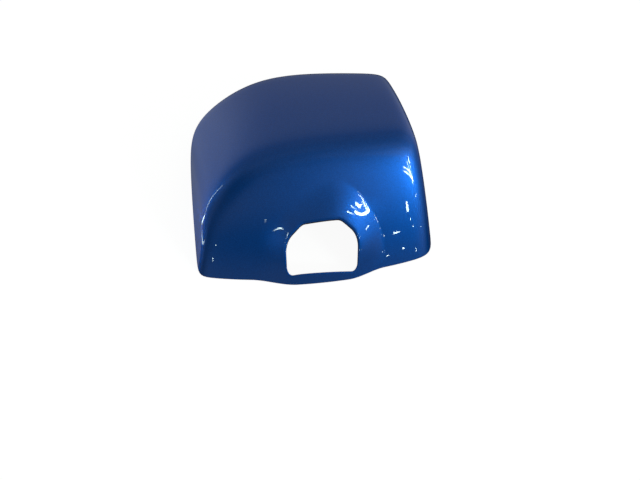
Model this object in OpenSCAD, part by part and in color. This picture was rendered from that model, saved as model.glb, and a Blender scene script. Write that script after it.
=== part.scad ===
// Wing mirror cover: one moulded shell with a hood round the arm opening.
// Millimetres. The open rim lies in z = 0, +Z points out of the cover to its crown,
// -Y points to the edge with the arm opening, +X to the tall end wall.

/* [Shell walls] */
// Moulded wall thickness
wall = 2.5; // [2:0.1:3.2]
// Reach of the upper facet to +Y, measured in the rim plane
upper_reach = 133.5; // [130.5:0.5:136.5]
// Reach of the lower facet to -Y
lower_reach = 90; // [88.5:0.5:91.5]
// Reach of the left flank to -X, which is the facet over the left wall
flank_reach = 122.5; // [121:0.5:124]
// Reach of the left wall to -X
left_reach = 107.5; // [105.5:0.5:109.5]
// Reach of the right wall to +X
right_reach = 91.5; // [90:0.5:94]
// Reach of the bevelled corner facet
corner_reach = 137; // [135.5:0.5:138.5]
// Height of the upright edge under the shallow facets
skirt_h = 8; // [6:0.5:10]

/* [Facet angles] */
// Slope of the upper facet from the rim plane
upper_slope = 34.5; // [33.5:0.5:36]
// Slope of the lower facet from the rim plane
lower_slope = 50.5; // [49:0.5:52]
// Slope of the left flank from the rim plane
flank_slope = 57.5; // [56:0.5:59]
// Slope of the left wall, which is its draft from upright
left_slope = 77.5; // [75.5:0.5:79.5]
// Slope of the bevelled corner facet
corner_slope = 43.5; // [41.5:0.5:45.5]
// Slope of the right wall, which is its draft from upright
right_slope = 80.5; // [78.5:0.5:82.5]
// Slope of the upright edge under the shallow facets
skirt_slope = 84; // [82:0.5:86]
// Plan direction of the lower facet
lower_turn = -85.5; // [-86.5:0.5:-84.5]
// Plan direction of the left flank
flank_turn = 178; // [176:0.5:180]
// Plan direction of the left wall
left_turn = 187; // [185:0.5:189]
// Plan direction of the bevelled corner facet
corner_turn = 137; // [135:0.5:139]
// Plan direction of the right wall
right_turn = 5.5; // [4.5:0.5:7]

/* [Facet crowns and edge rounds] */
// Radius of the lower facet's crown up its slope
lower_crown_r = 227; // [195:4:275]
// Radius of the upper facet's crown up its slope
upper_crown_r = 820; // [600:20:1200]
// Radius of the left flank's crown up its slope
flank_crown_r = 1250; // [1000:50:2000]
// Radius of the lower facet's bow along the rim
lower_bow_r = 500; // [450:10:600]
// Radius of the left wall's bow along the rim
left_bow_r = 3300; // [2500:100:5000]
// Radius of the right wall's bow along the rim
right_bow_r = 940; // [850:10:1200]
// Softness of the ridge between the lower facet and the others
ridge_soft = 6; // [5:0.5:7.5]
// Softness of the bend between the upper facet and the bevelled corner
corner_soft = 17.5; // [15.5:0.5:19.5]
// Softness of the bend between the left flank and the facets above it
flank_soft = 13; // [11:0.5:15]
// Softness of the bend to the left wall
left_soft = 3; // [2.5:0.5:5]
// Softness of the bend to the right wall
end_soft = 5; // [4.5:0.5:7]
// Softness of the bend over the upright edge
skirt_soft = 3; // [2:0.5:4]
// Softness of the corners along the upright edge
skirt_corner = 15; // [13:0.5:17]

/* [Hood] */
// Full rise of the hood over the lower facet
hood_rise = 7.5; // [6.5:0.5:8.5]
// Middle of the hood along the rim
hood_x = 8; // [6.5:0.5:9.5]
// Part of that rise that the hood has at the rim
hood_low = 0.64; // [0.56:0.02:0.72]
// Width of the hood from its middle to the left, at the rim
hood_left = 62; // [60:0.5:64]
// Width of the hood from its middle to the right
hood_right = 48; // [46:0.5:50]
// Height above the rim where the hood runs out
hood_top = 69; // [67:0.5:71]
// Squareness of the arched hood outline, 2 is an ellipse
hood_square = 1.85; // [1.7:0.05:2.1]
// Part of the hood's width that its full height takes on the left
hood_flat = 0.38; // [0.34:0.02:0.44]
// How much more of the width it takes high up on the right, where the flank is crisper
hood_crisp = 0.22; // [0.16:0.02:0.28]
// How far the foot of the right flank is a crease
hood_crease = 0.6; // [0:0.1:0.8]
// Height above the rim over which the hood reaches its full rise and crispness
hood_fade = 36; // [30:1:42]

/* [Arm opening] */
// Width of the opening at its lower edge
open_low_w = 57.5; // [56:0.5:59]
// Width of the opening across its rounded sides
open_mid_w = 57.5; // [56:0.5:58.5]
// Width of the opening at its upper edge
open_top_w = 41; // [38:0.5:43]
// Depth of the opening in plan
open_depth = 27.5; // [26.5:0.5:29]
// Middle of the opening along the rim
open_x = 4; // [3:0.5:5]
// Strip of wall in plan from the opening's lower edge to the lower facet's reach
open_sill = 9.5; // [9:0.5:10.5]
// Turn of the opening in plan
open_turn = 6.5; // [5:0.5:8]
// Corner radius at the lower edge
open_low_r = 5; // [4:0.5:6]
// Radius of the rounded sides
open_mid_r = 12; // [10:0.5:13]
// Corner radius at the upper edge
open_top_r = 8; // [6:0.5:9]

/* [Moulded inner features] */
// Radius of a locating peg
peg_r = 3.5; // [3:0.25:4]
// Free length of a locating peg under its boss
peg_l = 18; // [14:1:22]
// Radius of the boss at the foot of a peg
boss_r = 5; // [4.5:0.25:5.5]
// Length of the boss under the crown
boss_l = 6; // [5:0.5:8]
// Distance of each peg from the point midway between them along the ridge
peg_x = 34; // [31:1:37]
// Thickness of a stiffening rib
rib_t = 1.6; // [1.4:0.1:2]
// Depth of a stiffening rib under the inner face
rib_d = 5; // [4:0.5:6]
// Distance of each cross rib from the point midway between them
rib_x = 18; // [15:1:21]
// Width of a snap lug at the rim
lug_w = 10; // [8:0.5:12]
// Reach of a snap lug from the inner face
lug_d = 2.4; // [2:0.1:3]
// Height of a snap lug
lug_h = 5; // [4:0.5:6]

/* [Hidden] */
// Middle point that the rays of the shell mesh start from
mid = [-4, 16, 0];
// Distance up a facet's slope where its crown touches the flat facet
crown_at = 60;
// Where along the rim the lower facet's bow starts
lower_bow_at = -28;
// Where along the rim the right wall's bow starts
right_bow_at = -65;
// Radius that stands for a facet without a crown or a bow
flat_r = 1000000;
// Distance of the opening's lower edge to -Y
open_low_y = lower_reach - open_sill;
// X position midway between the pegs and midway between the cross ribs
inner_x = 10;
// Distance that a moulded feature is sunk into the wall
sink = 1.2;
// Height of the lower side of a snap lug above the rim
lug_z = 2;
// Turn of a snap lug from the middle of its wall
lug_turn = 16;
// Parts of a snap lug's reach and height where its ramp starts and ends
lug_nose = 0.25;
lug_ramp = 0.7;
// Distance that a boss is sunk into the crown
boss_sink = 0.8;
// Y span that the ridge's top line is looked for in, and the steps taken
crest_low = -25;
crest_high = 30;
crest_steps = 14;
// Y position of the long rib, beside the ridge
rib_y = 58;
// Y span of the two cross ribs
rib_y_low = 8;
rib_y_high = 92;
// X span of the long rib
rib_x_low = -64;
rib_x_high = 66;
// Number of meridians round the shell
meridians = 120;
// Number of rings of the outer and of the inner face
outer_rings = 22;
inner_rings = 12;
// Crowding of the rings towards the rim, and the lift of the last one over the crown
ring_power = 1.4;
top_lift = 90;
// Longest ray, and halvings of it to find a face
ray_l = 220;
halvings = 19;
// Stations along a rib, and how its depth fades to its ends
rib_steps = 12;
rib_fade = 0.8;
rib_power = 6;
// Facets of the round pegs
round_n = 48;
// Facets of a corner of the opening
corner_n = 32;
// Distance that the opening's cutter runs past the rim, and its height
past = 5;
open_high = 100;

// Larger of two distances with a soft change between them
function soft_max(a, b, soft) =
    let (m = max(a, b))
    m + soft * ln(exp((a - m) / soft) + exp((b - m) / soft));

// Distance of a point above one facet, which is crowned up its slope and bowed along the rim
function facet(p, turn, reach, slope, bow_r = flat_r, bow_at = 0, crown_r = flat_r) =
    let (out = p.x * cos(turn) + p.y * sin(turn))
    let (along = p.y * cos(turn) - p.x * sin(turn) - bow_at)
    let (up = (reach - out) * cos(slope) + p.z * sin(slope) - crown_at)
    let (curved = along * along / bow_r + up * up / crown_r)
    (out - reach) * sin(slope) + p.z * cos(slope) + curved / 2;

// One upright edge, which stands where the shallow facet over it is one skirt high
function edge(p, turn, reach, slope) =
    facet(p, turn, reach - skirt_h / tan(slope), skirt_slope);

// The upright edges of the upper facet and of the bevelled corner
function skirt(p) =
    soft_max(
        edge(p, 90, upper_reach, upper_slope),
        edge(p, corner_turn, corner_reach, corner_slope),
        skirt_corner);

// Upper facet, bevelled corner and left flank as one soft surface
function upper_side(p) =
    soft_max(
        soft_max(
            facet(p, 90, upper_reach, upper_slope, crown_r = upper_crown_r),
            facet(p, corner_turn, corner_reach, corner_slope),
            corner_soft),
        facet(p, flank_turn, flank_reach, flank_slope, crown_r = flank_crown_r),
        flank_soft);

// The same with the lower facet, which meets them at the ridge
function sides(p) =
    soft_max(
        upper_side(p),
        facet(p, lower_turn, lower_reach, lower_slope, lower_bow_r, lower_bow_at, lower_crown_r),
        ridge_soft);

// Distance of a point above the shell before the hood is raised
function body(p) =
    soft_max(
        soft_max(
            soft_max(sides(p), skirt(p), skirt_soft),
            facet(p, left_turn, left_reach, left_slope, left_bow_r),
            left_soft),
        facet(p, right_turn, right_reach, right_slope, right_bow_r, right_bow_at),
        end_soft);

// Smooth step from 0 to 1
function ease(t) = let (c = min(1, max(0, t))) c * c * (3 - 2 * c);

// Rise of the hood at a point, inside its arched outline on the lower side
function hood(p) =
    p.y > mid.y ? 0 :
    let (off = p.x - hood_x)
    let (side = abs(off) / (off > 0 ? hood_right : hood_left))
    let (high = max(0, p.z) / hood_top)
    let (q = pow(pow(side, hood_square) + pow(high, hood_square), 1 / hood_square))
    let (lift = ease(p.z / hood_fade))
    let (crisp = ease(off / hood_right + 0.5) * lift)
    let (t = min(1, max(0, (1 - q) / (1 - hood_flat - hood_crisp * crisp))))
    let (flank = ease(t) + hood_crease * crisp * (t * (2 - t) - ease(t)))
    hood_rise * (hood_low + (1 - hood_low) * lift) * flank;

// Distance of a point above the outer face
function skin(p) = body(p) - hood(p);

// Length of the ray from a point to the face at one depth under the outer face
function ray(from, dir, depth, near = 0, far = ray_l, left = halvings) =
    left == 0 ? (near + far) / 2 :
    let (m = (near + far) / 2)
    skin(from + m * dir) < -depth
        ? ray(from, dir, depth, m, far, left - 1)
        : ray(from, dir, depth, near, m, left - 1);

// Height of the inner face over a point of the plan
function roof(x, y) = ray([x, y, 0], [0, 0, 1], wall);

// Point of a ring and meridian on the face at one depth
function on_face(ring, rings, m, depth) =
    let (lift = top_lift * pow(ring / rings, ring_power))
    let (turn = 360 * m / meridians)
    let (dir = [cos(lift) * cos(turn), cos(lift) * sin(turn), sin(lift)])
    mid + dir * ray(mid, dir, depth);

// All points of one face, ring by ring, with the crown point last
function face_points(rings, depth) = concat(
    [for (ring = [0 : rings - 1]) for (m = [0 : meridians - 1]) on_face(ring, rings, m, depth)],
    [mid + [0, 0, ray(mid, [0, 0, 1], depth)]]);

// Triangles of one face, seen from above or from below
function face_triangles(rings, first, flip) =
    let (tip = first + rings * meridians)
    [for (ring = [0 : rings - 1]) for (m = [0 : meridians - 1])
        let (next = (m + 1) % meridians)
        let (a = first + ring * meridians + m)
        let (b = first + ring * meridians + next)
        let (c = a + meridians)
        let (d = b + meridians)
        each ring == rings - 1
            ? [flip ? [a, b, tip] : [a, tip, b]]
            : [flip ? [a, b, c] : [a, c, b], flip ? [b, d, c] : [b, c, d]]];

// Triangles of the flat rim between the outer and the inner face
function rim_triangles(inner) =
    [for (m = [0 : meridians - 1])
        let (next = (m + 1) % meridians)
        each [[m, next, inner + m], [next, inner + next, inner + m]]];

// Middle of the rim's outline, which is brought to the origin
function rim_middle() =
    let (rim = [for (m = [0 : meridians - 1]) on_face(0, outer_rings, m, 0)])
    let (xs = [for (p = rim) p.x])
    let (ys = [for (p = rim) p.y])
    [(min(xs) + max(xs)) / 2, (min(ys) + max(ys)) / 2, 0];

// Shell with its outer face, its inner face and the flat rim that joins them
module shell() {
    inner = outer_rings * meridians + 1;
    polyhedron(
        points = concat(face_points(outer_rings, 0), face_points(inner_rings, wall)),
        faces = concat(
            face_triangles(outer_rings, 0, false),
            face_triangles(inner_rings, inner, true),
            rim_triangles(inner)));
}

// Two circles of one radius at the ends of a width, a distance up the opening
module open_pair(w, up, r) {
    for (side = [-1, 1]) {
        translate([side * (w / 2 - r), up])
            circle(r = r, $fn = corner_n);
    }
}

// Plan outline of the opening, narrower at its upper edge and with round corners
module open_outline() {
    hull() {
        open_pair(open_low_w, open_low_r, open_low_r);
        open_pair(open_mid_w, open_mid_r, open_mid_r);
        open_pair(open_top_w, open_depth - open_top_r, open_top_r);
    }
}

// Cutter of the opening, which is drawn out of the mould along Z
module arm_opening() {
    translate([open_x, -open_low_y, -past])
        rotate([0, 0, open_turn])
            linear_extrude(height = open_high)
                open_outline();
}

// Y position of the crown's top line at one x, by narrowing a span round it
function crest_y(x, low = crest_low, high = crest_high, left = crest_steps) =
    left == 0 ? (low + high) / 2 :
    let (third = (high - low) / 3)
    roof(x, low + third) > roof(x, high - third)
        ? crest_y(x, low, high - third, left - 1)
        : crest_y(x, low + third, high, left - 1);

// Peg with its boss, hanging from the crown's top line
module peg(x) {
    y = crest_y(x);
    foot = roof(x, y) - boss_l;
    translate([x, y, foot])
        cylinder(r = boss_r, h = boss_l + boss_sink, $fn = round_n);
    translate([x, y, foot - peg_l])
        cylinder(r = peg_r, h = peg_l + boss_sink, $fn = round_n);
}

// Rib along a straight line of the plan, with its upper edge sunk in the wall
module rib(from, to) {
    line = to - from;
    side = [-line.y, line.x] / norm(line) * rib_t / 2;
    marks = [for (i = [0 : rib_steps]) from + line * i / rib_steps];
    points = [for (i = [0 : rib_steps])
        let (m = marks[i])
        let (z = roof(m.x, m.y))
        let (deep = rib_d * (1 - rib_fade * pow(2 * i / rib_steps - 1, rib_power)))
        each [
            [m.x - side.x, m.y - side.y, z + sink],
            [m.x + side.x, m.y + side.y, z + sink],
            [m.x + side.x, m.y + side.y, z - deep],
            [m.x - side.x, m.y - side.y, z - deep]]];
    strips = [for (i = [0 : rib_steps - 1]) for (k = [0 : 3])
        let (a = 4 * i + k)
        let (b = 4 * i + (k + 1) % 4)
        each [[a, b, a + 4], [b, b + 4, a + 4]]];
    last = 4 * rib_steps;
    polyhedron(
        points = points,
        faces = concat([[3, 2, 1], [3, 1, 0]], strips,
            [[last, last + 1, last + 2], [last, last + 2, last + 3]]));
}

// Snap lug on the inner face, with a long ramp towards the rim
module snap_lug(turn, faces) {
    level = lug_z + lug_h / 2;
    dir = [cos(turn), sin(turn), 0];
    start = [mid.x, mid.y, level];
    place = start + dir * ray(start, dir, wall);
    translate([place.x, place.y, 0])
        rotate([0, 0, faces])
            rotate([90, 0, 0])
                linear_extrude(height = lug_w, center = true)
                    polygon([
                        [sink, lug_z],
                        [-lug_d * lug_nose, lug_z],
                        [-lug_d, lug_z + lug_h * lug_ramp],
                        [-lug_d, lug_z + lug_h],
                        [sink, lug_z + lug_h]]);
}

// The whole moulding, drawn round the middle of its facets
module moulding() {
    difference() {
        shell();
        arm_opening();
    }
    for (side = [-1, 1]) {
        peg(inner_x + side * peg_x);
    }
    rib([rib_x_low, rib_y], [rib_x_high, rib_y]);
    for (side = [-1, 1]) {
        x = inner_x + side * rib_x;
        rib([x, rib_y_low], [x, rib_y_high]);
    }
    for (turn = [right_turn - lug_turn, right_turn + lug_turn]) {
        snap_lug(turn, right_turn);
    }
    for (turn = [left_turn - lug_turn, left_turn + lug_turn]) {
        snap_lug(turn, left_turn);
    }
    for (turn = [90 - lug_turn, 90 + lug_turn / 2]) {
        snap_lug(turn, 90);
    }
}

module mirror_cover() {
    color("royalblue")
        translate(-rim_middle())
            moulding();
}

mirror_cover();
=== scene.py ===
"""Looks of the wing mirror cover: a fine shell mesh on the CAD part's facets, blue outside, black inside."""

import math  # noqa: E402

import bpy  # noqa: E402
import numpy as np  # noqa: E402
from mathutils import Matrix, Vector  # noqa: E402


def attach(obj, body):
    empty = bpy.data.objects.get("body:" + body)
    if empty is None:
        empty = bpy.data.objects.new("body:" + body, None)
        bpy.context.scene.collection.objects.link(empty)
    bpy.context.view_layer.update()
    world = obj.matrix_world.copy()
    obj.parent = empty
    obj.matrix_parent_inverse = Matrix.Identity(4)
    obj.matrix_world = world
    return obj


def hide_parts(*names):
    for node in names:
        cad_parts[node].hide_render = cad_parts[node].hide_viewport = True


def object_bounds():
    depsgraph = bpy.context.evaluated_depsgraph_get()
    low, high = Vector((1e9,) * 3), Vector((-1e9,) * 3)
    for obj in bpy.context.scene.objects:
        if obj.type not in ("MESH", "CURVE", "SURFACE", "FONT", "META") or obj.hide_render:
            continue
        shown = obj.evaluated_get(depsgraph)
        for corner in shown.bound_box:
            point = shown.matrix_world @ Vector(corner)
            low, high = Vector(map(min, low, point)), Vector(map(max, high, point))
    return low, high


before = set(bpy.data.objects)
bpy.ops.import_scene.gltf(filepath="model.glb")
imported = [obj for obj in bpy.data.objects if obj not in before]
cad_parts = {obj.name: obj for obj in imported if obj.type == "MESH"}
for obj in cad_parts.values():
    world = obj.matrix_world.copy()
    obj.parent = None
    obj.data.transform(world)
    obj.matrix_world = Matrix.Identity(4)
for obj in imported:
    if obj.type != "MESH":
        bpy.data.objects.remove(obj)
cad_low, cad_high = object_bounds()

# Sizes of the shell in millimetres, the same as in the CAD part
WALL = 2.5
UPPER_REACH, UPPER_SLOPE, UPPER_TURN, UPPER_CROWN_R = 133.5, 34.5, 90, 820
LOWER_REACH, LOWER_SLOPE, LOWER_CROWN_R = 90, 50.5, 227
LOWER_TURN, LOWER_BOW_R, LOWER_BOW_AT = -85.5, 500, -28
CORNER_REACH, CORNER_SLOPE, CORNER_TURN = 137, 43.5, 137
FLANK_REACH, FLANK_SLOPE, FLANK_TURN, FLANK_CROWN_R = 122.5, 57.5, 178, 1250
LEFT_REACH, LEFT_SLOPE, LEFT_TURN, LEFT_BOW_R = 107.5, 77.5, 187, 3300
RIGHT_REACH, RIGHT_SLOPE, RIGHT_TURN, RIGHT_BOW_R, RIGHT_BOW_AT = 91.5, 80.5, 5.5, 940, -65
SKIRT_SLOPE, SKIRT_H, SKIRT_SOFT, SKIRT_CORNER = 84, 8, 3, 15
RIDGE_SOFT, CORNER_SOFT, FLANK_SOFT, LEFT_SOFT, END_SOFT = 6, 17.5, 13, 3, 5
FLAT_R = 1000000
HOOD_RISE, HOOD_LOW, HOOD_X, HOOD_LEFT, HOOD_RIGHT, HOOD_TOP, HOOD_SQUARE = 7.5, 0.64, 8, 62, 48, 69, 1.85
HOOD_FLAT, HOOD_CRISP, HOOD_CREASE, HOOD_FADE = 0.38, 0.22, 0.6, 36
CROWN_AT = 60
MID_X, MID_Y = -4, 16
OPEN_LOW_W, OPEN_MID_W, OPEN_TOP_W, OPEN_DEPTH = 57.5, 57.5, 41, 27.5
OPEN_LOW_R, OPEN_MID_R, OPEN_TOP_R = 5, 12, 8
OPEN_X, OPEN_SILL, OPEN_TURN = 4, 9.5, 6.5
OPEN_LOW_Y = LOWER_REACH - OPEN_SILL
PEG_R, PEG_L, BOSS_R, BOSS_L, PEG_X = 3.5, 18, 5, 6, 34
RIB_T, RIB_D, RIB_X, RIB_Y, INNER_X = 1.6, 5, 18, 58, 10
RIB_X_LOW, RIB_X_HIGH, RIB_Y_LOW, RIB_Y_HIGH = -64, 66, 8, 92
LUG_W, LUG_D, LUG_H, LUG_Z, LUG_TURN = 10, 2.4, 5, 2, 16

# The lugs' backs follow the leaning wall: how far they go into it at the foot and at the top, in millimetres,
# and the turn of the wall behind the two lugs that stand where it curves, in degrees from +X
LUG_FOOT_IN, LUG_TOP_IN = 1.9, 0.1
LEFT_LUG_FACES, FAR_LUG_FACES = 176, 99

# Small rounds in millimetres: the peg's tip, the boss's edge, and how far the boss goes into the wall
PEG_ROUND, PEG_ROUND_IN, PEG_ROUND_UP = 0.8, 0.35, 0.2
BOSS_ROUND, BOSS_ROUND_BY, BOSS_SUNK = 0.4, 0.1, 0.8
TINY = 0.02

# Part of a rib's depth that is lost towards its ends, and how late it falls
RIB_RUNOUT, RIB_RUNOUT_POWER = 0.8, 6

# Finish of the mesh
MERIDIANS = 360
RINGS = 84
RING_POWER = 1.25
EDGE_R = 0.5
LIP_R = 2.3
LIP_STEPS = 7
LIP_PAINTED = 5
PATCH_HALF = 33
PATCH_RINGS = 52
PATCH_LAYERS = 20
ROUND_STEPS = 4
OUTLINE_STEPS, OUTLINE_STATIONS = 1440, 720
CREST_LOW, CREST_HIGH, CREST_STEPS = -25.0, 30.0, 14


def soft_max(a, b, soft):
    m = np.maximum(a, b)
    return m + soft * np.log(np.exp((a - m) / soft) + np.exp((b - m) / soft))


def facet(p, turn, reach, slope, bow_r=FLAT_R, bow_at=0.0, crown_r=FLAT_R):
    t, s = math.radians(turn), math.radians(slope)
    out = p[..., 0] * math.cos(t) + p[..., 1] * math.sin(t)
    along = p[..., 1] * math.cos(t) - p[..., 0] * math.sin(t) - bow_at
    up = (reach - out) * math.cos(s) + p[..., 2] * math.sin(s) - CROWN_AT
    return (out - reach) * math.sin(s) + p[..., 2] * math.cos(s) + (along**2 / bow_r + up**2 / crown_r) / 2


def edge(p, turn, reach, slope):
    return facet(p, turn, reach - SKIRT_H / math.tan(math.radians(slope)), SKIRT_SLOPE)


def ease(t):
    c = np.clip(t, 0, 1)
    return c * c * (3 - 2 * c)


def body(p):
    upper = soft_max(
        facet(p, UPPER_TURN, UPPER_REACH, UPPER_SLOPE, crown_r=UPPER_CROWN_R),
        facet(p, CORNER_TURN, CORNER_REACH, CORNER_SLOPE),
        CORNER_SOFT,
    )
    flank = facet(p, FLANK_TURN, FLANK_REACH, FLANK_SLOPE, crown_r=FLANK_CROWN_R)
    lower = facet(p, LOWER_TURN, LOWER_REACH, LOWER_SLOPE, LOWER_BOW_R, LOWER_BOW_AT, LOWER_CROWN_R)
    skirt = soft_max(
        edge(p, UPPER_TURN, UPPER_REACH, UPPER_SLOPE),
        edge(p, CORNER_TURN, CORNER_REACH, CORNER_SLOPE),
        SKIRT_CORNER,
    )
    left = facet(p, LEFT_TURN, LEFT_REACH, LEFT_SLOPE, LEFT_BOW_R)
    right = facet(p, RIGHT_TURN, RIGHT_REACH, RIGHT_SLOPE, RIGHT_BOW_R, RIGHT_BOW_AT)
    whole = soft_max(soft_max(upper, flank, FLANK_SOFT), lower, RIDGE_SOFT)
    return soft_max(soft_max(soft_max(whole, skirt, SKIRT_SOFT), left, LEFT_SOFT), right, END_SOFT)


def hood(p):
    off = p[..., 0] - HOOD_X
    side = np.abs(off) / np.where(off > 0, HOOD_RIGHT, HOOD_LEFT)
    high = np.maximum(0, p[..., 2]) / HOOD_TOP
    q = (side**HOOD_SQUARE + high**HOOD_SQUARE) ** (1 / HOOD_SQUARE)
    lift = ease(p[..., 2] / HOOD_FADE)
    crisp = ease(off / HOOD_RIGHT + 0.5) * lift
    t = np.clip((1 - q) / (1 - HOOD_FLAT - HOOD_CRISP * crisp), 0, 1)
    flank = ease(t) + HOOD_CREASE * crisp * (t * (2 - t) - ease(t))
    rise = HOOD_RISE * (HOOD_LOW + (1 - HOOD_LOW) * lift)
    return np.where(p[..., 1] > MID_Y, 0, rise * flank)


def skin(p):
    return body(p) - hood(p)


def cast(start, dirs, depth, far=220.0, halvings=30):
    """Points where rays from inside meet the face at one depth under the outer face."""
    near, end = np.zeros(dirs.shape[:-1]), np.full(dirs.shape[:-1], far)
    for _ in range(halvings):
        m = (near + end) / 2
        inside = skin(start + dirs * m[..., None]) < -depth
        near, end = np.where(inside, m, near), np.where(inside, end, m)
    return start + dirs * ((near + end) / 2)[..., None]


def roof(x, y, depth=WALL):
    """Height of the face at one depth over points of the plan."""
    x, y = np.asarray(x, float), np.asarray(y, float)
    start = np.stack([x, y, np.zeros_like(x)], -1)
    return cast(start, np.broadcast_to([0.0, 0.0, 1.0], start.shape), depth)[..., 2]


START = np.array([MID_X, MID_Y, EDGE_R])


def direction(lift, turn):
    lift, turn = np.broadcast_arrays(lift, turn)
    return np.stack([np.cos(lift) * np.cos(turn), np.cos(lift) * np.sin(turn), np.sin(lift)], -1)


def outline():
    """Points and outward normals round the plan outline of the opening, which is a hull of six circles."""
    pairs = [
        (OPEN_LOW_W, OPEN_LOW_R, OPEN_LOW_R),
        (OPEN_MID_W, OPEN_MID_R, OPEN_MID_R),
        (OPEN_TOP_W, OPEN_DEPTH - OPEN_TOP_R, OPEN_TOP_R),
    ]
    circles = np.array([(s * (w / 2 - r), up, r) for w, up, r in pairs for s in (-1, 1)])
    angle = np.linspace(0, 2 * math.pi, OUTLINE_STEPS + 1)[:-1]
    normal = np.stack([np.cos(angle), np.sin(angle)], -1)
    best = (normal @ circles[:, :2].T + circles[:, 2]).argmax(1)
    point = circles[best, :2] + circles[best, 2:] * normal
    point, normal = np.vstack([point, point[:1]]), np.vstack([normal, normal[:1]])
    step = np.hypot(*np.diff(point, axis=0).T)
    length = np.concatenate([[0], np.cumsum(step)])
    keep = np.concatenate([[True], step > 1e-9])
    at = np.linspace(0, length[-1], OUTLINE_STATIONS + 1)[:-1]
    turn = math.radians(OPEN_TURN)
    spin = np.array([[math.cos(turn), math.sin(turn)], [-math.sin(turn), math.cos(turn)]])
    place = np.stack([np.interp(at, length[keep], point[keep, i]) for i in (0, 1)], -1)
    out = np.stack([np.interp(at, length[keep], normal[keep, i]) for i in (0, 1)], -1)
    out /= np.linalg.norm(out, axis=1, keepdims=True)
    return place @ spin + np.array([OPEN_X, -OPEN_LOW_Y]), out @ spin


def on_plan(xy, depth):
    return np.column_stack([xy, roof(xy[:, 0], xy[:, 1], depth)])


class Mesh:
    """Collects points and faces, with a material number for each face."""

    def __init__(self):
        self.points, self.faces, self.paint, self.count = [], [], [], 0

    def add(self, points):
        first = self.count
        self.points.append(np.asarray(points, float).reshape(-1, 3))
        self.count += len(self.points[-1])
        return first

    def loop(self, points):
        return self.add(points) + np.arange(len(points))

    def band(self, a, b, material, closed=True):
        """Faces between two rows of point numbers."""
        n = len(a)
        for i in range(n if closed else n - 1):
            j = (i + 1) % n
            self.faces.append((int(a[i]), int(a[j]), int(b[j]), int(b[i])))
            self.paint.append(material)


def bend(a, b, c, steps=ROUND_STEPS):
    """Inner points of a rounded corner from a to c round the sharp corner b."""
    ts = [(i + 1) / steps for i in range(steps - 1)]
    return [a * (1 - t) ** 2 + 2 * b * t * (1 - t) + c * t * t for t in ts]


PAINT, PLASTIC = 0, 1
mesh = Mesh()
turns = 2 * math.pi * np.arange(MERIDIANS) / MERIDIANS
lifts = math.pi / 2 * (np.arange(RINGS) / RINGS) ** RING_POWER
edge_xy, edge_n = outline()
patch_mid = math.degrees(math.atan2(edge_xy[:, 1].mean() - MID_Y, edge_xy[:, 0].mean() - MID_X))
first_m = int(round((patch_mid - PATCH_HALF) * MERIDIANS / 360))
last_m = int(round((patch_mid + PATCH_HALF) * MERIDIANS / 360))
columns = [m % MERIDIANS for m in range(first_m, last_m + 1)]


def grid(depth):
    """Point numbers of the ring and meridian grid on one face, and its crown point."""
    points = cast(START, direction(lifts[:, None], turns[None, :]), depth)
    first = mesh.add(points)
    numbers = first + np.arange(RINGS * MERIDIANS).reshape(RINGS, MERIDIANS)
    tip = mesh.add(cast(START, np.array([[0.0, 0.0, 1.0]]), depth))
    return points, numbers, tip


def patch_edge(numbers):
    """Point numbers round the block of the grid that holds the opening, in the outline's own turn."""
    low = [numbers[0, m] for m in columns]
    right = [numbers[r, columns[-1]] for r in range(1, PATCH_RINGS)]
    high = [numbers[PATCH_RINGS, m] for m in reversed(columns)]
    left = [numbers[r, columns[0]] for r in range(PATCH_RINGS - 1, 0, -1)]
    return np.array(low + right + high + left)


def around(points, middle):
    """Angle of each point about a middle direction, by turn and lift from the start point."""
    d = points - START
    turn = np.unwrap(np.arctan2(d[:, 1], d[:, 0]))
    lift = np.arctan2(d[:, 2], np.hypot(d[:, 0], d[:, 1]))
    turn = (turn - middle[0] + math.pi) % (2 * math.pi) - math.pi
    return np.arctan2(lift - middle[1], turn)


def face(depth, marks=None):
    """One face of the shell, with a patch that fits the opening.

    Returns its rim ring, its opening loop and the marks along the outline.
    """
    points, numbers, tip = grid(depth)
    inside = set(columns[:-1])
    material = PAINT if depth == 0 else PLASTIC
    for r in range(RINGS - 1):
        for m in range(MERIDIANS):
            if r < PATCH_RINGS and m in inside:
                continue
            n = (m + 1) % MERIDIANS
            corners = (numbers[r, m], numbers[r, n], numbers[r + 1, n], numbers[r + 1, m])
            mesh.faces.append(tuple(int(v) for v in corners))
            mesh.paint.append(material)
    for m in range(MERIDIANS):
        mesh.faces.append((int(numbers[-1, m]), int(numbers[-1, (m + 1) % MERIDIANS]), tip))
        mesh.paint.append(material)
    border = patch_edge(numbers)
    every = np.concatenate(mesh.points)
    border_points = every[border]
    back = LIP_R if depth == 0 else EDGE_R
    ring = on_plan(edge_xy + back * edge_n, depth)
    if marks is None:
        d = ring.mean(0) - START
        middle = (math.atan2(d[1], d[0]), math.atan2(d[2], math.hypot(d[0], d[1])))
        a, b = around(ring, middle), around(border_points, middle)
        start = int(a.argmin())
        a = np.roll(a, -start)
        order = (np.arange(len(a)) + start).astype(float)
        a = np.maximum.accumulate(a) + np.arange(len(a)) * 1e-9
        wide_a = np.concatenate([a - 2 * math.pi, a, a + 2 * math.pi])
        wide_o = np.concatenate([order - len(a), order, order + len(a)])
        marks = np.interp(b, wide_a, wide_o) % len(a)
    hole = on_plan(at_marks(edge_xy, marks) + back * at_marks(edge_n, marks), depth)
    layers = [border]
    for i in range(1, PATCH_LAYERS):
        t = i / PATCH_LAYERS
        flat = border_points * (1 - t) + hole * t
        d = flat - START
        d /= np.linalg.norm(d, axis=1, keepdims=True)
        layers.append(mesh.loop(cast(START, d, depth)))
    layers.append(mesh.loop(hole))
    for outer, inner in zip(layers, layers[1:]):
        mesh.band(outer, inner, material)
    return numbers[0], layers[-1], marks


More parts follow.
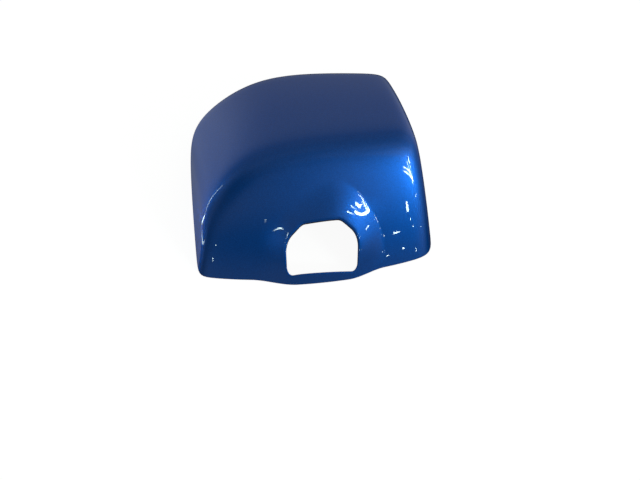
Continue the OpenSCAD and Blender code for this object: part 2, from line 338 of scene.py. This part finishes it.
def at_marks(values, marks):
    """Values between the even stations of the outline."""
    low = np.floor(marks).astype(int)
    t = (marks - low)[:, None]
    return values[low % len(values)] * (1 - t) + values[(low + 1) % len(values)] * t


rim_out, hole_out, marks = face(0)
rim_in, hole_in, marks = face(WALL, marks)
every = np.concatenate(mesh.points)

# Opening: rounded outer lip with the paint thinning out over it, upright cut, rounded inner corner
xy = at_marks(edge_xy, marks)
top, under = on_plan(xy, 0), on_plan(xy, WALL)
row = hole_out
lip = top - np.array([0, 0, LIP_R])
for i, points in enumerate(bend(every[hole_out], top, lip, LIP_STEPS) + [lip]):
    new = mesh.loop(points)
    mesh.band(row, new, PAINT if i < LIP_PAINTED else PLASTIC)
    row = new
drop = np.array([0, 0, EDGE_R])
for points in [under + drop] + bend(under + drop, under, every[hole_in]):
    new = mesh.loop(points)
    mesh.band(row, new, PLASTIC)
    row = new
mesh.band(row, hole_in, PLASTIC)

# Rim: rounded corners with a flat between them, in the plane z = 0
outer, inner = every[rim_out], every[rim_in]
across = inner - outer
across[:, 2] = 0
across /= np.linalg.norm(across, axis=1, keepdims=True)
down = np.array([0, 0, EDGE_R])
rows = bend(outer, outer - down, outer - down + across * EDGE_R) + [outer - down + across * EDGE_R]
rows += [inner - down - across * EDGE_R] + bend(inner - down - across * EDGE_R, inner - down, inner)
row = rim_out
for i, points in enumerate(rows):
    new = mesh.loop(points)
    mesh.band(row, new, PAINT if i < ROUND_STEPS - 1 else PLASTIC)
    row = new
mesh.band(row, rim_in, PLASTIC)

# The CAD part's middle, read on the same 120 meridians
RIM = cast(np.array([MID_X, MID_Y, 0.0]), direction(0.0, turns[::3]), 0)
SHIFT = (RIM.min(0) + RIM.max(0)) / 2


def crest_y(x):
    """Y of the crown's top line at one x."""
    low, high = CREST_LOW, CREST_HIGH
    for _ in range(CREST_STEPS):
        third = (high - low) / 3
        if roof(x, low + third) > roof(x, high - third):
            high -= third
        else:
            low += third
    return (low + high) / 2


def lathe(x, y, profile, steps=48):
    """A turned feature from rows of radius and height, closed at its lower end."""
    angle = 2 * math.pi * np.arange(steps) / steps
    rows = [
        mesh.loop(np.column_stack([x + r * np.cos(angle), y + r * np.sin(angle), np.full(steps, z)]))
        for r, z in profile
    ]
    for a, b in zip(rows, rows[1:]):
        mesh.band(a, b, PLASTIC)


for x in (INNER_X - PEG_X, INNER_X + PEG_X):
    y = crest_y(x)
    foot = float(roof(x, y)) - BOSS_L
    tip = foot - PEG_L
    lathe(x, y, [
        (TINY, tip),
        (PEG_R - PEG_ROUND, tip),
        (PEG_R - PEG_ROUND_IN, tip + PEG_ROUND_UP),
        (PEG_R, tip + PEG_ROUND),
        (PEG_R, foot - TINY),
        (PEG_R, foot),
        (BOSS_R - BOSS_ROUND, foot),
        (BOSS_R - BOSS_ROUND_BY, foot + BOSS_ROUND_BY),
        (BOSS_R, foot + BOSS_ROUND),
        (BOSS_R, foot + BOSS_L + BOSS_SUNK),
    ])


# End view of a rib: across it in half widths, how far it goes into the wall, and the lift of its rounded edge
RIB_PROFILE = [
    (-1, 0.9, 0),
    (-1, 0, 0.3),
    (-0.6, 0, 0.05),
    (0, 0, 0),
    (0.6, 0, 0.05),
    (1, 0, 0.3),
    (1, 0.9, 0),
]


def rib(a, b, steps=60):
    """A rib along a straight line of the plan, its free edge rounded."""
    a, b = np.array(a, float), np.array(b, float)
    t = np.linspace(0, 1, steps + 1)
    line = a + (b - a) * t[:, None]
    side = np.array([a[1] - b[1], b[0] - a[0]]) / np.linalg.norm(b - a)
    high = roof(line[:, 0], line[:, 1])
    deep = RIB_D * (1 - RIB_RUNOUT * (2 * t - 1) ** RIB_RUNOUT_POWER)
    half = RIB_T / 2
    rows = []
    for across, sunk, lift in RIB_PROFILE:
        xy = line + side * across * half
        z = high + sunk if sunk else high - deep + lift
        rows.append(mesh.loop(np.column_stack([xy, z])))
    for p, q in zip(rows, rows[1:]):
        mesh.band(p, q, PLASTIC, closed=False)
    for end in (0, -1):
        ids = [int(r[end]) for r in rows]
        mesh.faces.append(tuple(ids if end else reversed(ids)))
        mesh.paint.append(PLASTIC)


rib((RIB_X_LOW, RIB_Y), (RIB_X_HIGH, RIB_Y))
for x in (INNER_X - RIB_X, INNER_X + RIB_X):
    rib((x, RIB_Y_LOW), (x, RIB_Y_HIGH))


# Side view of a snap lug: how far out of the inner face, and height, with small rounds at the nose
LUG_PROFILE = [
    (LUG_FOOT_IN, LUG_Z),
    (-LUG_D * 0.2, LUG_Z),
    (-LUG_D * 0.25, LUG_Z + 0.1),
    (-LUG_D + 0.05, LUG_Z + LUG_H * 0.68),
    (-LUG_D, LUG_Z + LUG_H * 0.74),
    (-LUG_D, LUG_Z + LUG_H - 0.2),
    (-LUG_D + 0.2, LUG_Z + LUG_H),
    (LUG_TOP_IN, LUG_Z + LUG_H),
]


def lug(turn, faces):
    """A snap lug on the inner face, with its ramp towards the rim."""
    level = LUG_Z + LUG_H / 2
    t, f = math.radians(turn), math.radians(faces)
    start = np.array([MID_X, MID_Y, level])
    place = cast(start, np.array([[math.cos(t), math.sin(t), 0.0]]), WALL)[0]
    out, along = np.array([math.cos(f), math.sin(f)]), np.array([-math.sin(f), math.cos(f)])
    rows = []
    for s in (-1, 1):
        rows.append(mesh.loop([[*(place[:2] + out * o + along * s * LUG_W / 2), z] for o, z in LUG_PROFILE]))
    mesh.band(rows[0], rows[1], PLASTIC)
    for row, flip in ((rows[0], True), (rows[1], False)):
        ids = [int(v) for v in row]
        mesh.faces.append(tuple(reversed(ids) if flip else ids))
        mesh.paint.append(PLASTIC)


for turn, faces in (
    (RIGHT_TURN - LUG_TURN, RIGHT_TURN),
    (RIGHT_TURN + LUG_TURN, RIGHT_TURN),
    (LEFT_TURN - LUG_TURN, LEFT_LUG_FACES),
    (LEFT_TURN + LUG_TURN, LEFT_TURN),
    (UPPER_TURN - LUG_TURN, UPPER_TURN),
    (UPPER_TURN + LUG_TURN / 2, FAR_LUG_FACES),
):
    lug(turn, faces)

# The mesh goes from millimetres into metres, its crown kept a hair under the CAD part's
CROWN_GAP = 0.00001
data = bpy.data.meshes.new("mirror_cover_shell")
places = (np.concatenate(mesh.points) - [SHIFT[0], SHIFT[1], 0]) / 1000
places[:, 2] = np.minimum(places[:, 2], cad_high[2] - CROWN_GAP)
data.from_pydata(places.tolist(), [], mesh.faces)
data.polygons.foreach_set("material_index", mesh.paint)
data.polygons.foreach_set("use_smooth", [True] * len(mesh.faces))
data.validate()
data.update()
cover = bpy.data.objects.new("mirror_cover_shell", data)
bpy.context.scene.collection.objects.link(cover)
bpy.context.view_layer.objects.active = cover
cover.select_set(True)
bpy.ops.object.mode_set(mode="EDIT")
bpy.ops.mesh.select_all(action="SELECT")
bpy.ops.mesh.normals_make_consistent(inside=False)
bpy.ops.object.mode_set(mode="OBJECT")


def material(name):
    mat = bpy.data.materials.new(name)
    mat.use_nodes = True
    tree = mat.node_tree
    return mat, tree, tree.nodes["Principled BSDF"]


def noise(tree, scale, detail):
    place = tree.nodes.new("ShaderNodeTexCoord")
    node = tree.nodes.new("ShaderNodeTexNoise")
    node.inputs["Scale"].default_value = scale
    node.inputs["Detail"].default_value = detail
    tree.links.new(place.outputs["Object"], node.inputs["Vector"])
    return node


def bump(tree, height, strength, distance):
    node = tree.nodes.new("ShaderNodeBump")
    node.inputs["Strength"].default_value = strength
    node.inputs["Distance"].default_value = distance
    tree.links.new(height, node.inputs["Height"])
    return node


# Metallic blue under a clear coat: fine flakes in the colour and a little orange peel in the coat
paint, tree, shader = material("blue_metallic_paint")
flakes = tree.nodes.new("ShaderNodeTexVoronoi")
flakes.inputs["Scale"].default_value = 2600
place = tree.nodes.new("ShaderNodeTexCoord")
tree.links.new(place.outputs["Object"], flakes.inputs["Vector"])
tint = tree.nodes.new("ShaderNodeSeparateColor")
tree.links.new(flakes.outputs["Color"], tint.inputs["Color"])
ramp = tree.nodes.new("ShaderNodeValToRGB")
ramp.color_ramp.elements[0].color = (0.004, 0.125, 0.60, 1)
ramp.color_ramp.elements[1].color = (0.008, 0.175, 0.80, 1)
tree.links.new(tint.outputs["Red"], ramp.inputs["Fac"])
tree.links.new(ramp.outputs["Color"], shader.inputs["Base Color"])
shader.inputs["Metallic"].default_value = 0.85
shader.inputs["Roughness"].default_value = 0.48
shader.inputs["Specular Tint"].default_value = (0.15, 0.4, 0.9, 1)
shader.inputs["Coat Weight"].default_value = 1.0
shader.inputs["Coat Roughness"].default_value = 0.03
shader.inputs["Coat IOR"].default_value = 1.5
waves = noise(tree, scale=350, detail=1.0)
peel = bump(tree, waves.outputs["Fac"], strength=0.008, distance=0.0004)
tree.links.new(peel.outputs["Normal"], shader.inputs["Coat Normal"])

# Black moulded plastic with a fine grain
plastic, tree, shader = material("black_moulded_plastic")
shader.inputs["Base Color"].default_value = (0.012, 0.012, 0.013, 1)
shade = tree.nodes.new("ShaderNodeMapRange")
shade.inputs["To Min"].default_value = 0.42
shade.inputs["To Max"].default_value = 0.6
tree.links.new(noise(tree, scale=180, detail=3.0).outputs["Fac"], shade.inputs["Value"])
tree.links.new(shade.outputs["Result"], shader.inputs["Roughness"])
pits = noise(tree, scale=2200, detail=2.0)
grain = bump(tree, pits.outputs["Fac"], strength=0.25, distance=0.0002)
tree.links.new(grain.outputs["Normal"], shader.inputs["Normal"])

data.materials.append(paint)
data.materials.append(plastic)
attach(cover, "root")
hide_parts("mirror_cover")

# Floor: white to the camera, with the part's faint shadow, and open to all other rays, so that
# the studio lights the part from all round
FLOOR_GLOW = 0.938
FLOOR_TINT = 0.3
FLOOR_SIZE, FLOOR_Z = 12, -0.0005
bpy.ops.mesh.primitive_plane_add(size=FLOOR_SIZE, location=(0, 0, FLOOR_Z))
floor = bpy.context.object
floor.name = "floor"
mat, tree, shader = material("pale_floor")
rays = tree.nodes.new("ShaderNodeLightPath")
white = tree.nodes.new("ShaderNodeEmission")
white.inputs["Strength"].default_value = FLOOR_GLOW
lit = tree.nodes.new("ShaderNodeBsdfDiffuse")
lit.inputs["Color"].default_value = (FLOOR_TINT, FLOOR_TINT, FLOOR_TINT, 1)
both = tree.nodes.new("ShaderNodeAddShader")
clear = tree.nodes.new("ShaderNodeBsdfTransparent")
mix = tree.nodes.new("ShaderNodeMixShader")
tree.links.new(rays.outputs["Is Camera Ray"], mix.inputs["Fac"])
tree.links.new(clear.outputs["BSDF"], mix.inputs[1])
tree.links.new(white.outputs["Emission"], both.inputs[0])
tree.links.new(lit.outputs["BSDF"], both.inputs[1])
tree.links.new(both.outputs["Shader"], mix.inputs[2])
tree.links.new(mix.outputs["Shader"], tree.nodes["Material Output"].inputs["Surface"])
tree.nodes.remove(shader)
floor.data.materials.append(mat)

# Studio: soft pale walls round the part, each a patch by compass angle (0 is -Y, 90 is +X) and height angle
world = bpy.data.worlds.new("studio")
bpy.context.scene.world = world
world.use_nodes = True
tree = world.node_tree
back = tree.nodes["Background"]


def sums(kind, a, b=None, c=None):
    node = tree.nodes.new("ShaderNodeMath")
    node.operation = kind
    for slot, value in zip(node.inputs, (a, b, c)):
        if value is None:
            continue
        if isinstance(value, (int, float)):
            slot.default_value = value
        else:
            tree.links.new(value, slot)
    return node.outputs["Value"]


coord = tree.nodes.new("ShaderNodeTexCoord")
split = tree.nodes.new("ShaderNodeSeparateXYZ")
tree.links.new(coord.outputs["Generated"], split.inputs["Vector"])
DEGREES = 180 / math.pi
toward_y = sums("MULTIPLY", split.outputs["Y"], -1.0)
compass = sums("MULTIPLY", sums("ARCTAN2", split.outputs["X"], toward_y), DEGREES)
height = sums("MULTIPLY", sums("ARCSINE", split.outputs["Z"]), DEGREES)


def window(value, middle, half, soft, around=False):
    """1 within half of the middle, falling to 0 over the soft width."""
    off = sums("SUBTRACT", value, middle)
    if around:
        off = sums("WRAP", off, 180.0, -180.0)
    step = tree.nodes.new("ShaderNodeMapRange")
    step.interpolation_type = "SMOOTHSTEP"
    step.inputs["From Min"].default_value = half
    step.inputs["From Max"].default_value = half + soft
    step.inputs["To Min"].default_value = 1.0
    step.inputs["To Max"].default_value = 0.0
    tree.links.new(sums("ABSOLUTE", off), step.inputs["Value"])
    return step.outputs["Result"]


PATCHES = [
    # compass, half width, softness, height, half height, softness, strength
    (180, 40, 40, -15, 10, 20, 0.23),
    (180, 60, 60, 35, 15, 30, 0.165),
    (0, 180, 1, 90, 10, 40, 0.15),
    (-130, 15, 25, -30, 15, 20, 0.25),
    (-90, 15, 25, 0, 15, 30, 0.12),
    (-45, 20, 30, 0, 20, 30, 0.065),
    (-30, 20, 40, 45, 15, 30, 0.03),
    (0, 15, 25, 0, 20, 30, 0.027),
    (10, 30, 40, -30, 15, 20, 0.115),
    (35, 10, 20, 20, 10, 20, 0.055),
    (30, 20, 30, 55, 15, 25, 0.03),
    (75, 15, 25, 10, 15, 25, 0.22),
    (75, 12, 20, 42, 8, 20, 0.42),
    (45, 12, 25, 36, 8, 25, 0.11),
    (8, 15, 25, 36, 10, 20, 0.11),
    (90, 30, 40, 50, 15, 30, 0.13),
    (130, 15, 25, 0, 20, 30, 0.165),
    (0, 180, 1, -90, 20, 40, 0.066),
]
STUDIO_COLOR = (0.95, 1.0, 0.93, 1)
total = 0.0
for a, aw, asoft, h, hw, hsoft, strength in PATCHES:
    patch = sums("MULTIPLY", window(compass, a, aw, asoft, True), window(height, h, hw, hsoft))
    total = sums("MULTIPLY_ADD", patch, strength, total)
tree.links.new(total, back.inputs["Strength"])
back.inputs["Color"].default_value = STUDIO_COLOR
rays = tree.nodes.new("ShaderNodeLightPath")
bright = tree.nodes.new("ShaderNodeBackground")
bright.inputs["Strength"].default_value = 1.0
bright.inputs["Color"].default_value = (1, 1, 1, 1)
mix = tree.nodes.new("ShaderNodeMixShader")
tree.links.new(rays.outputs["Is Camera Ray"], mix.inputs["Fac"])
tree.links.new(back.outputs["Background"], mix.inputs[1])
tree.links.new(bright.outputs["Background"], mix.inputs[2])
tree.links.new(mix.outputs["Shader"], tree.nodes["World Output"].inputs["Surface"])

# Camera: the photo's, held a little rolled
ELEVATION, AZIMUTH, ROLL, DISTANCE = 65.197, 5.902, 6.818, 711.461
LENS = 50
TARGET = np.array([0.735 - SHIFT[0], -60.768 - SHIFT[1], 30.0])
e, a, r = (math.radians(v) for v in (ELEVATION, AZIMUTH, ROLL))
backward = np.array([-math.sin(a) * math.cos(e), -math.cos(a) * math.cos(e), math.sin(e)])
right = np.cross(-backward, [0, 0, 1])
right /= np.linalg.norm(right)
up = np.cross(right, -backward)
right, up = right * math.cos(r) + up * math.sin(r), up * math.cos(r) - right * math.sin(r)
eye = (TARGET + backward * DISTANCE) / 1000
lens = bpy.data.cameras.new("camera")
lens.lens = LENS
camera = bpy.data.objects.new("camera", lens)
bpy.context.scene.collection.objects.link(camera)
camera.matrix_world = Matrix((
    (right[0], up[0], backward[0], eye[0]),
    (right[1], up[1], backward[1], eye[1]),
    (right[2], up[2], backward[2], eye[2]),
    (0, 0, 0, 1),
))
bpy.context.scene.camera = camera


# Lamps: thin ones that show as highlights in the clear coat. The far ones stand 2 m out from their aim.
# NORMAL_STEP is in millimetres, and BEAM_SHARE brings a narrow beam to its stated brightness on its axis
AIM = (0, -0.03, 0.05)
FAR = 2.0
LAMP_COLOR = (0.75, 0.97, 0.95)
SPECK_BRIGHT = 32
NORMAL_STEP = 0.2
BEAM_SHARE = 3


def toward(compass, height):
    """A place far out from the part by compass and height angle."""
    a, h = math.radians(compass), math.radians(height)
    return Vector(AIM) + FAR * Vector((math.sin(a) * math.cos(h), -math.cos(a) * math.cos(h), math.sin(h)))


def lamp(name, size, energy, along, side, back, place, spread=math.pi):
    """A rectangular lamp in metres, with its long side, short side and back given as directions."""
    light = bpy.data.lights.new(name, "AREA")
    light.shape = "RECTANGLE"
    light.size, light.size_y = size
    light.spread = spread
    light.energy = energy
    light.color = LAMP_COLOR
    ob = bpy.data.objects.new(name, light)
    ob.matrix_world = Matrix((
        (along[0], side[0], back[0], place[0]),
        (along[1], side[1], back[1], place[1]),
        (along[2], side[2], back[2], place[2]),
        (0, 0, 0, 1),
    ))
    bpy.context.scene.collection.objects.link(ob)


def tube(name, first, last, width, bright):
    """A long thin lamp far out, from one direction to another, its width in degrees."""
    a, b = toward(*first), toward(*last)
    along, middle = (b - a).normalized(), (a + b) / 2
    back = (middle - Vector(AIM)).normalized()
    size = (b - a).length, math.radians(width) * FAR
    lamp(name, size, bright * math.pi * size[0] * size[1], along, back.cross(along), back, middle)


tube("tube_low", (46, 29), (57, 17), 1.0, 46)
tube("tube_high", (48, 31.5), (53.5, 25), 0.9, 46)
tube("tube_upright", (57, 17), (54, 27), 0.8, 46)
tube("tube_front", (40, 14), (39, 9), 1.5, 30)

# Small far lamps that give the specks near the rim: compass and height angle, width along and width across,
# all in degrees
SPECKS = [
    (32, 1, 1.7, 0.8),
    (39.5, 5, 0.6, 1.3),
    (41, 1, 0.5, 1.1),
    (27.5, 3, 0.5, 1.3),
    (28, -10, 1.8, 0.5),
    (33, -8, 0.6, 0.9),
    (40, -11, 0.5, 1.6),
    (-17.5, 3.5, 0.7, 0.6),
    (-17, -5, 0.4, 2.6),
    (56, 10, 2.2, 0.7),
    (58, -6, 1.0, 0.8),
]
for number, (turn, lift, wide, thin) in enumerate(SPECKS):
    tube("speck_%02d" % (number + 1), (turn - wide / 2, lift), (turn + wide / 2, lift), thin, SPECK_BRIGHT)

# Strip lamps held close, each with a narrow beam. Two points in plan on the outer face that its reflection
# runs between, in millimetres, then its distance and width in millimetres, its brightness and beam angle
GLINTS = [
    # left ends of the two strokes on the hood
    ((20.7, -46.4), (28.0, -47.5), 80, 2.2, 34, 24),
    ((23.7, -42.5), (28.7, -43.9), 80, 2.2, 34, 24),
    # right band
    ((67.6, -5.6), (73.2, -22.1), 100, 1.8, 55, 62),
    ((66.6, -9.1), (71.1, -18.3), 100, 1.5, 55, 60),
    # streak left of the hood
    ((-38.5, -59.7), (-29.8, -57.5), 100, 2.2, 34, 18),
    # left ridge
    ((-76.7, -30.0), (-91.0, -46.7), 250, 7, 7, 60),
    ((-91.0, -46.7), (-93.7, -50.0), 250, 7, 7, 60),
    ((-93.6, -55.6), (-90.8, -63.0), 250, 7, 5, 70),
]


def mirrored(xy, far):
    """The outer face's point over one place in plan, and one far millimetres along its reflected ray."""
    point = np.array([xy[0], xy[1], float(roof(xy[0], xy[1], 0))])
    normal = np.array([float(skin(point + step) - skin(point - step)) for step in np.eye(3) * NORMAL_STEP])
    normal /= np.linalg.norm(normal)
    ray = point - (eye * 1000 + [SHIFT[0], SHIFT[1], 0])
    ray /= np.linalg.norm(ray)
    return point, point + (ray - 2 * (ray @ normal) * normal) * far


def strip(name, first, last, far, width, bright, beam):
    """A strip lamp whose reflection in the clear coat runs between two points of the outer face."""
    (p, a), (q, b) = mirrored(first, far), mirrored(last, far)
    length = max(np.linalg.norm(b - a), width)
    along, facing = (b - a) / np.linalg.norm(b - a), (p + q - a - b) / 2
    facing -= (facing @ along) * along
    facing /= np.linalg.norm(facing)
    size = length / 1000, width / 1000
    energy = bright * math.pi * size[0] * size[1] * math.tan(math.radians(beam) / 2) ** 2 / BEAM_SHARE
    place = ((a + b) / 2 - [SHIFT[0], SHIFT[1], 0]) / 1000
    lamp(name, size, energy, along, np.cross(-facing, along), -facing, place, math.radians(beam))


for number, values in enumerate(GLINTS):
    strip("strip_%02d" % (number + 1), *values)

bpy.context.scene.view_settings.view_transform = "Standard"
